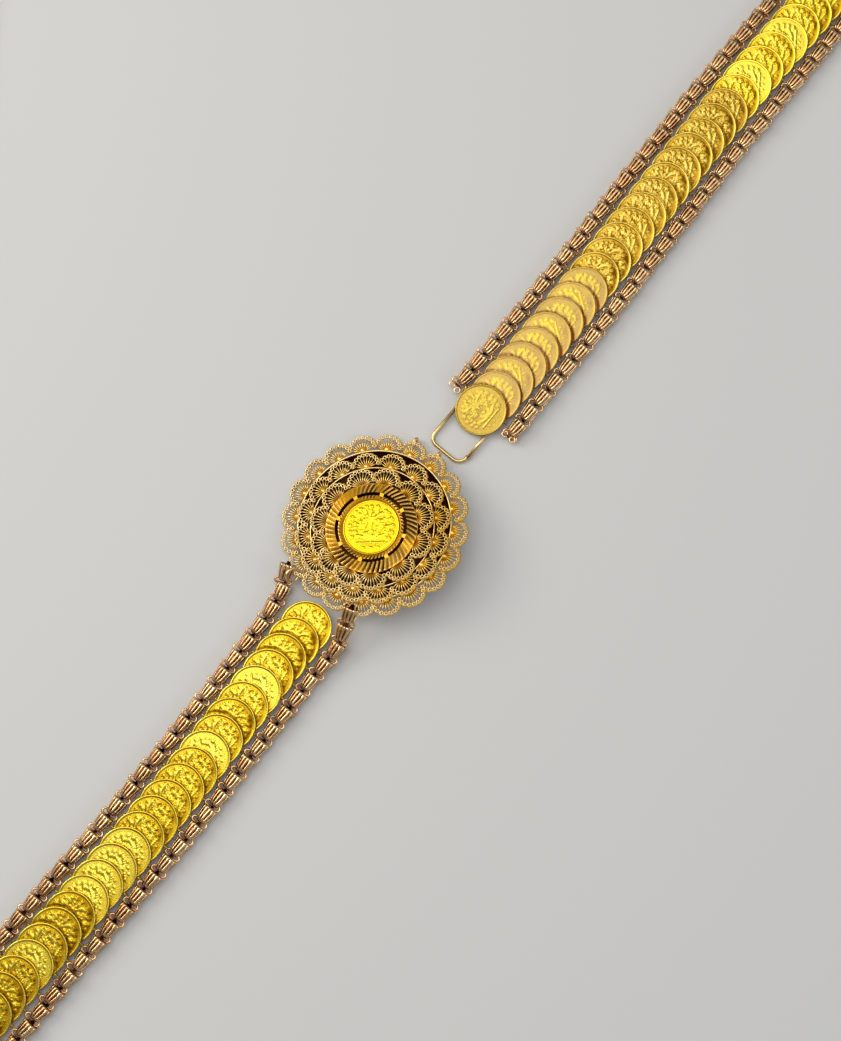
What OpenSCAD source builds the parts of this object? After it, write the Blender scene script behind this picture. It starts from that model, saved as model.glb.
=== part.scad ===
/* [Strap] */
// Distance from one coin of the strap to the next
coin_pitch = 7.9; // [7.7:0.1:8.4]
// Coins on the buckle's side of the strap
coins_near_buckle = 25; // [6:1:25]
// Coins on the clasp's side of the strap, the end coin included
coins_near_clasp = 29; // [6:1:29]
// Distance between the middles of the two side chains
chain_spread = 28.6; // [28.4:0.1:31]
// Outside diameter of a side chain
chain_d = 6; // [5:0.1:6.2]

/* [Coins] */
// Diameter of a strap coin
coin_d = 20.5; // [18:0.1:20.6]
// Thickness of a strap coin at its rim
coin_t = 1; // [0.8:0.05:1.1]
// Width of a coin's raised rim
coin_rim = 0.7; // [0.4:0.1:1.2]
// Height of the rim and of the flower above a coin's field
relief_h = 0.2; // [0.1:0.05:0.3]
// Diameter of the coin in the buckle
centre_coin_d = 22.1; // [20:0.1:22.3]

/* [Buckle] */
// Diameter over the tips of the outer shells
buckle_d = 73.8; // [72:0.2:76]
// Fan shells in the outer tier
outer_shells = 20; // [18:1:22]
// Fan shells in the middle tier
middle_shells = 16; // [15:1:17]
// Fan shells in the inner tier
inner_shells = 12; // [11:1:13]
// Grooves cut round the fluted ring
flutes = 56; // [24:4:60]
// Thickness of a tier's sheet
sheet_t = 0.7; // [0.5:0.05:0.9]
// Tilt of the buckle as it lies on its catch, in degrees
buckle_tilt = 12; // [6:0.5:12]

/* [Clasp] */
// Diameter of the clasp's wire
clasp_wire_d = 1.5; // [1.2:0.1:1.6]
// Width of the clasp loop between the middles of its legs
clasp_w = 16.1; // [14:0.1:16.4]
// Radius of the clasp loop's corners
clasp_corner_r = 3.8; // [2:0.1:6]
// Diameter of the wire of the catch behind the buckle
catch_wire_d = 1.3; // [1:0.1:1.3]

/* [Hidden] */
$fn = 48;

yellow = [0.93, 0.76, 0.18];
amber = [0.80, 0.56, 0.16];
pale = [0.88, 0.74, 0.42];
rose = [0.80, 0.58, 0.38];

gap = 0.1;          // between pieces that sit on each other
clear = 0.13;       // between two coins that lap
eps = 0.02;

// The strap. Everything is placed from the buckle's middle, then moved so that the belt's box is centred
coin_r = coin_d / 2;
coin_tilt = asin((coin_t + clear) / coin_pitch);
coin_z = 3.2;                       // underside of a coin at its middle
first_x = -47.4;                    // the coin next to the buckle
end_x = 62.9;                       // the end coin, which carries the clasp loop
chain_r = chain_d / 2;
half_spread = chain_spread / 2;
lug_d = 1;
lug_x = -4.5;                       // from a coin's middle to its lugs
lug_out = half_spread - chain_r - 0.25;
end_y = -1.5;                       // the end coin lies a little off the strap's middle line
end_lug_out = 10.55;
lug_root = sqrt(coin_r * coin_r - lug_x * lug_x) - 0.6;

function ease(t) = let (c = max(0, min(1, t))) c * c * (3 - 2 * c);
// The strap's middle line wanders a little to either side of the buckle's middle. For each side of the
// buckle: where the line starts, how far it drifts, how far out the drift begins and how long it takes
drift_left = [-5.2, -4.5, 30, 125];
drift_right = [-2.3, 6.2, 80, 170];
function strap_y(x) =
    let (d = x < 0 ? drift_left : drift_right) d[0] + d[1] * ease((abs(x) - d[2]) / d[3]);
function strap_turn(x) = atan((strap_y(x + 1) - strap_y(x - 1)) / 2);

// The buckle's levels, above the underside of its outer tier
tip_r = buckle_d / 2;
outer_base_r = 30.2;
middle_tip_r = 30.1;
middle_base_r = 24.2;
inner_tip_r = 24.3;
inner_base_r = 18.4;
well_r = 14.6;                      // the tiers' inner edge, round the coin's tube
off_centre = [-2.2, -1.3];           // the inner tiers sit off the outer tier's middle
middle_z = 1.5;
inner_z = 3;
ring_z = inner_z + sheet_t + gap;
ring_r = 18.3;
slot_in_r = 12.95;
slot_out_r = 14.25;
slots = 8;
slot_angle = 36;
tab_phase = -22;
collar_r = centre_coin_d / 2 + gap;
coin_seat_z = ring_z + 0.1;
centre_coin_t = 1.3;
centre_coin_rim = 1;
plate_r = 25;
plate_t = 0.8;
rim_h = 0.4;                        // the wires round a shell stand this much above its sheet
rim_wire = 0.5;
base_wire = 0.8;
shell_rim = 1.3;
web = 0.8;                          // between a shell's two gaps
fan_foot = 0.9;                     // from the base wire's middle to the gaps
middle_wall_r = 19.5;
inner_wall_r = 17;
wall_t = 0.8;
crest_h = 1.9;                      // the fluted ring's height
flute_z = 1.45;                     // a groove's depth is set by its height above the ring's foot
flute_w = 0.5;
flute_slope = 18;
flute_slant = 30;                   // from straight outwards
tube_r = 12.4;
tube_lip = 1;                       // the ledge in the tube that the centre coin lies on
lip_t = 0.5;
outer_phase = -40;
middle_phase = -43;
inner_phase = -38;
buckle_z = tip_r * sin(buckle_tilt);

// Each jump ring passes through the edge of one outer shell
jump_shell_inner = 11;
jump_shell_outer = 14;
jump_r = 2.9;
jump_wire_d = 0.9;
jump_lean = 30;

// The side chains' ways round. The inner chain lies on the inside of the loop
near_buckle_inner = [[-39.7, 13.1, 4.4], [-43.5, 11.5, 3.4], [-49, 9.4, 3]];
near_buckle_outer = [[-36.6, -17, 10.3], [-42.5, -18.9, 7], [-49, -20.2, 4.3], [-57, -20.6, 3.1]];
hidden_inner_left = [
    [-243, 4.75], [-249, 6.4], [-253.4, 10.8], [-255, 16.8], [-253.4, 22.8], [-250.4, 26.2],
    [-240, 34.2], [40, 250.5], [61.4, 267], [70, 270], [80.2, 265.6], [92, 253.1]
];
hidden_inner_right = [
    [92.2, 252.9], [284, 50.2], [293.7, 39.9], [297, 31.2], [294, 22.4], [285, 18.2]
];
hidden_outer_left = [
    [-243, -24.6], [-253, -21.9], [-260.3, -14.6], [-263, -4.6], [-263, 16.8], [-261.2, 25],
    [-255.3, 32.5], [-245, 40.5], [35, 256.8], [56.5, 273.4], [70, 278], [86, 271.1], [98, 258.5]
];
hidden_outer_right = [
    [98.2, 258.3], [290, 55.5], [299.5, 45.4], [304, 38], [305, 31.6], [305, 10.3], [302.3, 0.4],
    [295.2, -7.5], [285, -10.4]
];
left_stations = [-75, -95, -120, -150, -200];
right_stations = [250, 210, 170, 130, 105, 80];
inner_stop = [66.8];
outer_stop = [64.1];

// The middle of the belt's box, seen from the buckle's middle
box_left = min([for (p = hidden_outer_left) p[0]]) - chain_r;
box_right = max([for (p = hidden_outer_right) p[0]]) + chain_r;
box_far = max([for (p = hidden_outer_left) p[1]]) + chain_r;
box_near = -tip_r * cos(buckle_tilt);
place = [-(box_left + box_right) / 2, -(box_far + box_near) / 2, 0];

function lay(flat) = [for (p = flat) [p[0], p[1], chain_r]];
function along(stations, side) = [for (x = stations) [x, strap_y(x) + side * half_spread, chain_r]];
inner_left = concat(near_buckle_inner, along(left_stations, 1), lay(hidden_inner_left));
inner_right = concat(lay(hidden_inner_right), along(concat(right_stations, inner_stop), 1));
outer_left = concat(near_buckle_outer, along(left_stations, -1), lay(hidden_outer_left));
outer_right = concat(lay(hidden_outer_right), along(concat(right_stations, outer_stop), -1));

function unit(v) = v / norm(v);
function heading(p, i) = unit(p[min(i + 1, len(p) - 1)] - p[max(i - 1, 0)]);
function ring_at(c, t, r, n) =
    let (side = unit(cross([0, 0, 1], t)), up = cross(t, side))
    [for (k = [0 : n - 1]) let (a = 360 * (k + 0.5) / n) c + r * (cos(a) * side + sin(a) * up)];

// A tube swept along a route
module tube(route, r, n = 10) {
    last = len(route) - 1;
    polyhedron(
        points = [for (i = [0 : last]) each ring_at(route[i], heading(route, i), r, n)],
        faces = concat(
            [[for (k = [0 : n - 1]) k]],
            [[for (k = [n - 1 : -1 : 0]) last * n + k]],
            [for (i = [0 : last - 1], k = [0 : n - 1])
                let (m = (k + 1) % n)
                [i * n + k, (i + 1) * n + k, (i + 1) * n + m, i * n + m]]
        )
    );
}

// A pointed petal, its foot at the origin and its tip up
module petal(length, width) {
    bow_r = (length * length + width * width) / (4 * width);
    translate([0, length / 2])
        intersection_for (side = [-1, 1])
            translate([side * (bow_r - width / 2), 0]) circle(r = bow_r);
}

// A flower of five petals with two leaves over a ground line, within a circle of radius s
module flower(s) {
    for (a = [-70, -35, 0, 35, 70])
        translate([0, -0.2 * s]) rotate(a) petal(0.85 * s, 0.26 * s);
    for (side = [-1, 1])
        translate([0, -0.5 * s]) rotate(side * 72) petal(0.6 * s, 0.22 * s);
    translate([0, -0.2 * s]) circle(r = 0.13 * s);
    translate([-0.06 * s, -0.62 * s]) square([0.12 * s, 0.5 * s]);
    translate([-0.6 * s, -0.68 * s]) square([1.2 * s, 0.08 * s]);
}

// A coin with a raised rim, its underside at z = 0
module coin(r, t, rim) {
    difference() {
        cylinder(r = r, h = t);
        translate([0, 0, t - relief_h]) cylinder(r = r - rim, h = relief_h + eps);
    }
    translate([0, 0, t - relief_h - eps]) linear_extrude(relief_h + eps) flower(r - rim);
}

// A strap coin where it lies, with a lug on each side
module strap_coin(x, at_x = lug_x, out = lug_out) {
    translate([x, strap_y(x), coin_z]) rotate([0, 0, strap_turn(x)]) rotate([0, -coin_tilt, 0]) {
        coin(coin_r, coin_t, coin_rim);
        for (side = [-1, 1])
            translate([at_x, side * lug_root, coin_t / 2]) rotate([-90 * side, 0, 0])
                cylinder(d = lug_d, h = out - lug_root);
    }
}

module on_buckle() {
    translate(place + [0, 0, buckle_z]) rotate([-buckle_tilt, 0, 0]) children();
}

function shell_size(count, reach_r) = 0.885 * reach_r * sin(180 / count);

module spread_shells(count, at_r, phase) {
    for (k = [0 : count - 1]) rotate(phase + 360 * k / count) translate([at_r, 0]) children();
}

// One tier of fan shells: two gaps in each shell, a wire round it outside rim_from and, where it is ringed,
// a wire ring at the shells' base
module tier(count, reach_r, base_r, phase, rim_from, ringed = true) {
    shell_r = shell_size(count, reach_r);
    at_r = reach_r - shell_r;
    linear_extrude(sheet_t) difference() {
        union() {
            circle(r = base_r);
            spread_shells(count, at_r, phase) circle(r = shell_r);
        }
        spread_shells(count, at_r, phase)
            for (side = [0, 1]) mirror([0, side])
                intersection() {
                    circle(r = shell_r - shell_rim);
                    translate([max(-gap, base_r + fan_foot - at_r), web / 2]) square(shell_r);
                }
    }
    translate([0, 0, sheet_t - eps]) linear_extrude(rim_h) difference() {
        spread_shells(count, at_r, phase) difference() {
            circle(r = shell_r);
            circle(r = shell_r - rim_wire);
        }
        circle(r = rim_from);
    }
    if (ringed)
        translate([0, 0, sheet_t - eps]) linear_extrude(rim_h) difference() {
            circle(r = base_r + base_wire / 2);
            circle(r = base_r - base_wire / 2);
        }
}

// Room for the fluted ring's tube
module well() {
    translate([0, 0, -1]) cylinder(r = well_r, h = 4);
}

// The short wall under a tier that holds it off the tier below
module gallery(r, low, high) {
    translate([0, 0, low]) linear_extrude(high - low + eps) difference() {
        circle(r = r);
        circle(r = r - wall_t);
    }
}

module outer_tier() {
    color(pale) on_buckle() difference() {
        tier(outer_shells, tip_r, outer_base_r, outer_phase, outer_base_r);
        translate(off_centre) well();
    }
}

module middle_tier() {
    color(pale) on_buckle() translate(off_centre) {
        translate([0, 0, middle_z]) difference() {
            tier(middle_shells, middle_tip_r, middle_base_r, middle_phase, middle_base_r);
            well();
        }
        gallery(middle_wall_r, sheet_t + gap, middle_z);
    }
}

module inner_tier() {
    color(pale) on_buckle() translate(off_centre) {
        translate([0, 0, inner_z]) difference() {
            tier(inner_shells, inner_tip_r, inner_base_r, inner_phase, ring_r + 0.2, false);
            well();
        }
        gallery(inner_wall_r, middle_z + sheet_t + gap, inner_z);
    }
}

// Conical band and dished collar in one, with slots between them and a tube that stands on the back plate
module fluted_ring() {
    crest_z = ring_z + crest_h;
    lip_z = coin_seat_z - gap;
    tab_angle = 360 / slots - slot_angle;
    profile = [
        [collar_r, gap], [tube_r, gap], [tube_r, ring_z + 0.4], [slot_out_r + 0.8, ring_z + 0.7],
        [ring_r - 1.1, ring_z], [ring_r, ring_z], [ring_r, ring_z + 0.5], [slot_out_r + 0.5, crest_z],
        [slot_in_r - 0.3, crest_z - 0.1], [collar_r, ring_z + 1.2], [collar_r, lip_z],
        [collar_r - tube_lip, lip_z], [collar_r - tube_lip, lip_z - lip_t], [collar_r, lip_z - lip_t]
    ];
    color(amber) on_buckle() translate(off_centre) difference() {
        rotate_extrude() polygon(profile);
        for (k = [0 : slots - 1])
            rotate(tab_phase + tab_angle / 2 + 360 * k / slots) translate([0, 0, ring_z - 0.5])
                rotate_extrude(angle = slot_angle)
                    translate([slot_in_r, 0]) square([slot_out_r - slot_in_r, 4]);
        for (k = [0 : flutes - 1])
            rotate(360 * k / flutes) translate([ring_r - 2, 0, ring_z + flute_z])
                rotate([0, flute_slope, -flute_slant]) translate([-2, -flute_w / 2, 0])
                    cube([8, flute_w, 1]);
    }
}

module centre_coin() {
    color(yellow) on_buckle() translate(off_centre) translate([0, 0, coin_seat_z])
        coin(centre_coin_d / 2, centre_coin_t, centre_coin_rim);
}

module back_plate() {
    color(amber) on_buckle() translate(off_centre) translate([0, 0, -gap - plate_t])
        cylinder(r = plate_r, h = plate_t);
}

// Two bent wires on a pad, joined at their free end: the clasp loop slips over them
module catch() {
    wire_r = catch_wire_d / 2;
    top_z = -2 * gap - plate_t - wire_r;
    bend_r = 1.45;
    free_x = 14;
    prongs = [[36.4, 11.2], [37.6, 0]];
    color(amber) on_buckle() {
        for (prong = prongs) translate([0, prong[1], top_z]) {
            rotate([0, 90, 0]) cylinder(r = wire_r, h = prong[0]);
            translate([prong[0], 0, -bend_r]) rotate([90, 0, 0])
                rotate([0, 0, -90]) rotate_extrude(angle = 180) translate([bend_r, 0]) circle(r = wire_r);
            translate([free_x, 0, -2 * bend_r]) rotate([0, 90, 0])
                cylinder(r = wire_r, h = prong[0] - free_x);
        }
        translate([-2, -2, top_z - wire_r]) cube([12, 15.2, catch_wire_d]);
        translate([free_x, -wire_r, top_z - 2 * bend_r]) rotate([-90, 0, 0])
            cylinder(r = wire_r, h = prongs[0][1] + catch_wire_d);
    }
}

// A ring through the edge of one outer shell, on the side of it that swing says
module jump_ring(shell, swing, lean) {
    shell_r = shell_size(outer_shells, tip_r);
    through = shell_r - shell_rim - jump_wire_d / 2 - 0.15;
    color(rose) on_buckle()
        rotate(outer_phase + 360 * shell / outer_shells) translate([tip_r - shell_r, 0, sheet_t / 2])
            rotate(swing) translate([through + jump_r, 0, 0]) rotate([90 + lean, 0, 0])
                rotate_extrude() translate([jump_r, 0]) circle(d = jump_wire_d);
}

module jump_ring_inner() { jump_ring(jump_shell_inner, 22, jump_lean); }
module jump_ring_outer() { jump_ring(jump_shell_outer, -30, jump_lean); }

module coins_near_buckle() {
    color(yellow) translate(place)
        for (k = [0 : coins_near_buckle - 1]) strap_coin(first_x - k * coin_pitch);
}

module coins_near_clasp() {
    color(yellow) translate(place)
        for (k = [1 : coins_near_clasp - 1]) strap_coin(end_x + k * coin_pitch);
}

// The end coin with the wire loop soldered under it
module clasp_end() {
    wire_r = clasp_wire_d / 2;
    reach = 21.9;                   // from the coin's middle to the middle of the loop's near side
    loop_y = -1.2;
    leg_x = -1.4;
    side_y = clasp_w / 2;
    loop_z = wire_r;                // the near side lies on the ground
    rise = asin((coin_z - 0.4 - 2 * wire_r + 0.1) / (reach + leg_x));
    color(yellow) translate(place + [0, end_y - strap_y(end_x), 0]) strap_coin(end_x, 0, end_lug_out);
    color(pale) translate(place + [end_x - reach, loop_y, loop_z]) rotate([0, -rise, 0]) {
        for (side = [-1, 1]) {
            translate([clasp_corner_r, side * side_y, 0]) rotate([0, 90, 0])
                cylinder(r = wire_r, h = reach + leg_x - clasp_corner_r);
            translate([clasp_corner_r, side * (side_y - clasp_corner_r), 0])
                rotate([0, 0, side > 0 ? 90 : 180])
                    rotate_extrude(angle = 90) translate([clasp_corner_r, 0]) circle(r = wire_r);
        }
        translate([0, -side_y + clasp_corner_r, 0]) rotate([-90, 0, 0])
            cylinder(r = wire_r, h = clasp_w - 2 * clasp_corner_r);
    }
}

// The side chains end in two small rings each, side by side
module end_rings(spots) {
    color(rose) translate(place)
        for (spot = spots) translate([spot[0], spot[1], chain_r])
            rotate_extrude() translate([1.05, 0]) circle(d = 0.8);
}

module end_rings_inner() { end_rings([[65.1, 14.6], [64.9, 10.7]]); }
module end_rings_outer() { end_rings([[62.2, -13.8], [62.3, -17.7]]); }

module inner_chain_buckle_half() { color(rose) translate(place) tube(inner_left, chain_r); }
module inner_chain_clasp_half() { color(rose) translate(place) tube(inner_right, chain_r); }
module outer_chain_buckle_half() { color(rose) translate(place) tube(outer_left, chain_r); }
module outer_chain_clasp_half() { color(rose) translate(place) tube(outer_right, chain_r); }

back_plate();
catch();
outer_tier();
middle_tier();
inner_tier();
fluted_ring();
centre_coin();
jump_ring_inner();
jump_ring_outer();
coins_near_buckle();
coins_near_clasp();
clasp_end();
end_rings_inner();
end_rings_outer();
inner_chain_buckle_half();
inner_chain_clasp_half();
outer_chain_buckle_half();
outer_chain_clasp_half();
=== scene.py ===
"""The looks of a gold belt: a filigree buckle, a strap of lapped coins, two side chains and a clasp."""

import math
import random

import bpy
from mathutils import Matrix, Vector


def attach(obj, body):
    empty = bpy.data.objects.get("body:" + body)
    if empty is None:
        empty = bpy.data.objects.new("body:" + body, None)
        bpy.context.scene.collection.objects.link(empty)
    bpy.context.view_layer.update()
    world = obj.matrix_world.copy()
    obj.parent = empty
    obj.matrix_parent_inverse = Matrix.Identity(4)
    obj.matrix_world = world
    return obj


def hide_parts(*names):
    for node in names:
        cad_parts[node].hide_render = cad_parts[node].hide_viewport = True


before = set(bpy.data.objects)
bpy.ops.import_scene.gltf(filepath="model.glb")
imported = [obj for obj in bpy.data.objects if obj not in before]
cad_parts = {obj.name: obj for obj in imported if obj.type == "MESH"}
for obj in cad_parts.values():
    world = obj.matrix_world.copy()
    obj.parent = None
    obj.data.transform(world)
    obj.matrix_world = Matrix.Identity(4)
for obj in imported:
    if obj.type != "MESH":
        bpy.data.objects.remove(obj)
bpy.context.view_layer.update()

# The belt lies on its back, unfastened, and is looked at from nearly straight above.
# The picture's own upright stands at an angle to the strap, which runs to its upper right corner.
MM = 0.001
BELT = Vector((-21.0, -122.45, 0.0))    # where the buckle's middle lies in the shared frame, in millimetres
PICTURE_TURN = -49.6                    # degrees from the belt's own direction to the picture's right
VIEW_TURN = math.radians(PICTURE_TURN)
VIEW_LEAN = math.radians(10.0)
VIEW_AIM = BELT + Vector((13.6, -12.0, 3.0))
VIEW_DISTANCE = 855.9
FOCAL_PX = 2180.0
PICTURE_HEIGHT_PX = 1041
SENSOR_MM = 24.0
NEAR_CLIP = 0.01

camera_data = bpy.data.cameras.new("camera")
camera_data.sensor_fit = "VERTICAL"
camera_data.sensor_height = SENSOR_MM
camera_data.lens = SENSOR_MM * FOCAL_PX / PICTURE_HEIGHT_PX
camera_data.clip_start = NEAR_CLIP
camera = bpy.data.objects.new("camera", camera_data)
bpy.context.scene.collection.objects.link(camera)
turned = Matrix.Rotation(VIEW_TURN, 4, "Z") @ Matrix.Rotation(VIEW_LEAN, 4, "X")
camera.matrix_world = Matrix.Translation((VIEW_AIM + turned @ Vector((0, 0, VIEW_DISTANCE))) * MM) @ turned
bpy.context.scene.camera = camera

# The table that the belt lies on: plain, pale and matt, and far wider than the belt.
# Its lamps are large and soft, and the strongest stands off to the picture's upper left.
TABLE_HALF = 4.0
TABLE_DROP = 0.00005
TABLE_TONE = (0.66, 0.655, 0.64)
TABLE_ROUGHNESS = 0.8
ROOM_TONE = (0.97, 1.0, 1.04)
ROOM_STRENGTH = 0.26
LAMPS = (
    # picture-right, picture-up and height in metres, width and depth in metres, watts, colour
    ("window", (-1.15, 0.45, 0.85), (0.7, 0.7), 9.5, (1.0, 0.97, 0.92)),
    ("ceiling", (-0.20, 0.0, 1.5), (0.8, 1.2), 6.0, (1.0, 0.99, 0.97)),
    ("skylight", (-0.40, 0.75, 1.5), (1.1, 0.8), 5.0, (1.0, 0.98, 0.94)),
    ("fill", (1.2, -0.5, 0.9), (0.7, 0.7), 3.0, (0.96, 0.98, 1.0)),
)

bpy.context.scene.view_settings.view_transform = "Standard"
table = bpy.data.objects.new("table", bpy.data.meshes.new("table"))
table_corners = [(x * TABLE_HALF, y * TABLE_HALF) for x, y in ((-1, -1), (1, -1), (1, 1), (-1, 1))]
table.data.from_pydata([(x, y, -TABLE_DROP) for x, y in table_corners], [], [(0, 1, 2, 3)])
bpy.context.scene.collection.objects.link(table)
table_paint = bpy.data.materials.new("table_paint")
table_paint.use_nodes = True
table_shader = table_paint.node_tree.nodes["Principled BSDF"]
table_shader.inputs["Base Color"].default_value = (*TABLE_TONE, 1.0)
table_shader.inputs["Roughness"].default_value = TABLE_ROUGHNESS
table.data.materials.append(table_paint)

room = bpy.data.worlds.new("room")
room.use_nodes = True
room.node_tree.nodes["Background"].inputs["Color"].default_value = (*ROOM_TONE, 1.0)
room.node_tree.nodes["Background"].inputs["Strength"].default_value = ROOM_STRENGTH
bpy.context.scene.world = room

for lamp_name, spot, size, watts, tint in LAMPS:
    lamp_data = bpy.data.lights.new(lamp_name, "AREA")
    lamp_data.shape = "RECTANGLE"
    lamp_data.size, lamp_data.size_y = size
    lamp_data.energy = watts
    lamp_data.color = tint
    lamp = bpy.data.objects.new(lamp_name, lamp_data)
    bpy.context.scene.collection.objects.link(lamp)
    aim = VIEW_AIM * MM
    place = aim + Matrix.Rotation(VIEW_TURN, 3, "Z") @ Vector(spot)
    lamp.matrix_world = Matrix.Translation(place) @ (place - aim).to_track_quat("Z", "Y").to_matrix().to_4x4()


# Side chains: flared baskets pierced with long slits, each with its neck held in a flat oval link that lies
# across the chain. They are of a reddish gold, soldered by hand, with one basket and one link for each coin.
class Work:
    """Metal being put together, in millimetres. A point's tone is 1 for worn metal and painted highlights,
    and 0 for soil and painted shade.
    """

    def __init__(self):
        self.points = []
        self.faces = []
        self.tones = []

    def add(self, points, faces, tone=1.0):
        first = len(self.points)
        self.points += [Vector(p) for p in points]
        self.tones += [tone] * len(points) if isinstance(tone, (int, float)) else list(tone)
        self.faces += [tuple(first + i for i in face) for face in faces]

    def wire(self, path, radius, sides=5, closed=False, tone=1.0):
        """Lays wire along a path, with one of its edges on top."""
        path = [Vector(p) for p in path]
        count = len(path)
        up = Vector((0, 0, 1))
        points = []
        for i, spot in enumerate(path):
            before = path[i - 1] if closed or i else spot
            after = path[(i + 1) % count] if closed or i + 1 < count else spot
            along = (after - before).normalized()
            up = (up - along * up.dot(along)).normalized()
            side = along.cross(up)
            for k in range(sides):
                angle = math.tau * k / sides
                points.append(spot + radius * (math.cos(angle) * up + math.sin(angle) * side))
        faces = []
        for i in range(count if closed else count - 1):
            here, there = i * sides, (i + 1) % count * sides
            faces += [
                (here + k, here + (k + 1) % sides, there + (k + 1) % sides, there + k) for k in range(sides)
            ]
        if not closed:
            faces.append(tuple(reversed(range(sides))))
            faces.append(tuple((count - 1) * sides + k for k in range(sides)))
        self.add(points, faces, tone)

    def loft(self, rings, tones):
        """A solid run through rings of points, each ring anticlockwise as seen from the end of the run."""
        count = len(rings[0])
        faces = [tuple(reversed(range(count))), tuple((len(rings) - 1) * count + k for k in range(count))]
        for here in range(0, (len(rings) - 1) * count, count):
            faces += [
                (here + k, here + (k + 1) % count, here + count + (k + 1) % count, here + count + k)
                for k in range(count)
            ]
        self.add([p for ring in rings for p in ring], faces, [tone for ring in tones for tone in ring])

    def plate(self, outline, low, high, tone):
        """A flat piece of sheet cut to an outline that runs anticlockwise."""
        count = len(outline)
        points = [(x, y, low) for x, y in outline] + [(x, y, high) for x, y in outline]
        faces = [tuple(reversed(range(count))), tuple(range(count, 2 * count))]
        faces += [(k, (k + 1) % count, count + (k + 1) % count, count + k) for k in range(count)]
        self.add(points, faces, tone)

    def turn(self, profile, steps, tone=0.0, lift=None):
        """A ring turned from a closed profile of radius and height that runs anticlockwise.

        Where lift is given, it says how far each point rises, and its tone.
        """
        rim = len(profile)
        points = []
        tones = []
        for s in range(steps):
            angle = math.tau * s / steps
            for radius, height in profile:
                extra, shade = lift(angle, radius, height) if lift else (0.0, tone)
                points.append((radius * math.cos(angle), radius * math.sin(angle), height + extra))
                tones.append(shade)
        faces = []
        for s in range(steps):
            here, there = s * rim, (s + 1) % steps * rim
            faces += [(here + k, there + k, there + (k + 1) % rim, here + (k + 1) % rim) for k in range(rim)]
        self.add(points, faces, tones)

    def mesh(self, name, place=None, smooth=True):
        """A mesh in metres, with the soil and painted shade of each point kept on it."""
        made = bpy.data.meshes.new(name)
        made.from_pydata([p * MM for p in self.points], [], self.faces)
        # the soil value of each point also holds its painted shade and painted highlight
        shade_and_soil = made.attributes.new("shade_and_soil", "FLOAT", "POINT")
        shade_and_soil.data.foreach_set("value", [1 - tone for tone in self.tones])
        if place:
            made.transform(place)
        made.polygons.foreach_set("use_smooth", [smooth] * len(made.polygons))
        return made

    def piece(self, name, place=None, smooth=True):
        """A piece of the scene."""
        made = bpy.data.objects.new(name, self.mesh(name, place, smooth))
        bpy.context.scene.collection.objects.link(made)
        return made

    def unit(self, name):
        """A unit that only the row trees read: it isn't put into the scene."""
        return bpy.data.objects.new(name, self.mesh(name))


class Sum:
    """A number that a shader works out, written as it would be in a formula."""

    def __init__(self, finish, socket):
        self.finish = finish
        self.socket = socket

    def step(self, operation, first, second):
        return self.finish.number("ShaderNodeMath", {"operation": operation}, {0: first, 1: second})

    def __add__(self, other):
        return self.step("ADD", self, other)

    def __sub__(self, other):
        return self.step("SUBTRACT", self, other)

    def __rsub__(self, other):
        return self.step("SUBTRACT", other, self)

    def __mul__(self, other):
        return self.step("MULTIPLY", self, other)

    __radd__ = __add__
    __rmul__ = __mul__


CLOUD_SCALE = 90.0                  # clouds of wear in a metre
SOFT_DETAIL = 2.0
FINE_DETAIL = 3.0
NOISE_MIDDLE = 0.5
GRAIN_ROUGHNESS = 0.25              # how much the grain, and the soil and painted shade, add to a finish's roughness
SHADE_SOIL_ROUGHNESS = 0.2


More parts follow.
